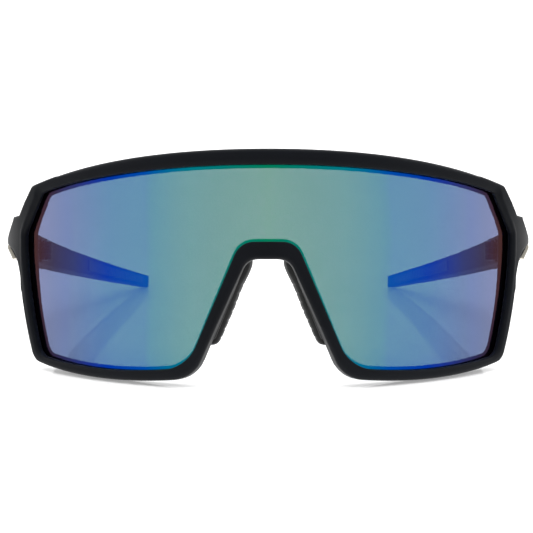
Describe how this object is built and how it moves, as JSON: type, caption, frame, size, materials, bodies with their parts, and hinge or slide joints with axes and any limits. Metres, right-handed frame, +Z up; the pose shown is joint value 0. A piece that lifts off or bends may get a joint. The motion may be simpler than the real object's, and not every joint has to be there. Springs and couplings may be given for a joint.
{
  "type": "wraparound sport sunglasses",
  "caption": "Full-rim wraparound sport sunglasses with a one-piece mirrored shield, ribbed nose pads and folding temples.",
  "frame": {"origin": "centre of the bounding box on the surface that the glasses stand on, with the temples open", "axes": "+X to the wearer's left, +Y back along the temples, +Z up; the glasses stand on the lower rim and the temple tips"},
  "size_m": [0.1484, 0.1616, 0.061],
  "materials": {
    "frame_plastic": "matt black injection-moulded nylon",
    "mirror_shield": "mirror-coated tinted polycarbonate, green to blue to violet",
    "carrier_plastic": "satin black nylon",
    "pad_rubber": "soft matt black rubber with fine ribs",
    "hinge_steel": "satin stainless steel",
    "screw_steel": "polished steel screws",
    "washer_nylon": "natural nylon",
    "temple_plastic": "matt black injection-moulded nylon",
    "accent_metal": "pale satin metal trim",
    "grip_rubber": "matt black rubber"
  },
  "bodies": {
    "front": {"front_frame": "frame_plastic", "shield_lens": "mirror_shield", "nose_clip": "carrier_plastic", "nose_pad_left": "pad_rubber", "front_hinge_left": "hinge_steel", "front_hinge_screws_left": "screw_steel", "hinge_screw_left": "screw_steel", "hinge_washers_left": "washer_nylon", "nose_pad_right": "pad_rubber", "front_hinge_right": "hinge_steel", "front_hinge_screws_right": "screw_steel", "hinge_screw_right": "screw_steel", "hinge_washers_right": "washer_nylon"},
    "temple_left": {"temple_left": "temple_plastic", "temple_hinge_left": "hinge_steel", "temple_hinge_screws_left": "screw_steel", "temple_accent_left": "accent_metal", "temple_grip_left": "grip_rubber"},
    "temple_right": {"temple_right": "temple_plastic", "temple_hinge_right": "hinge_steel", "temple_hinge_screws_right": "screw_steel", "temple_accent_right": "accent_metal", "temple_grip_right": "grip_rubber"}
  },
  "joints": [
    {"name": "temple_left_fold", "type": "hinge", "parent": "front", "child": "temple_left", "pos_m": [0.0628, -0.0285, 0.02824], "axis": [0, 0.148, 0.989], "range_deg": [0, 90]},
    {"name": "temple_right_fold", "type": "hinge", "parent": "front", "child": "temple_right", "pos_m": [-0.0628, -0.0285, 0.02824], "axis": [0, -0.148, -0.989], "range_deg": [0, 73]}
  ]
}
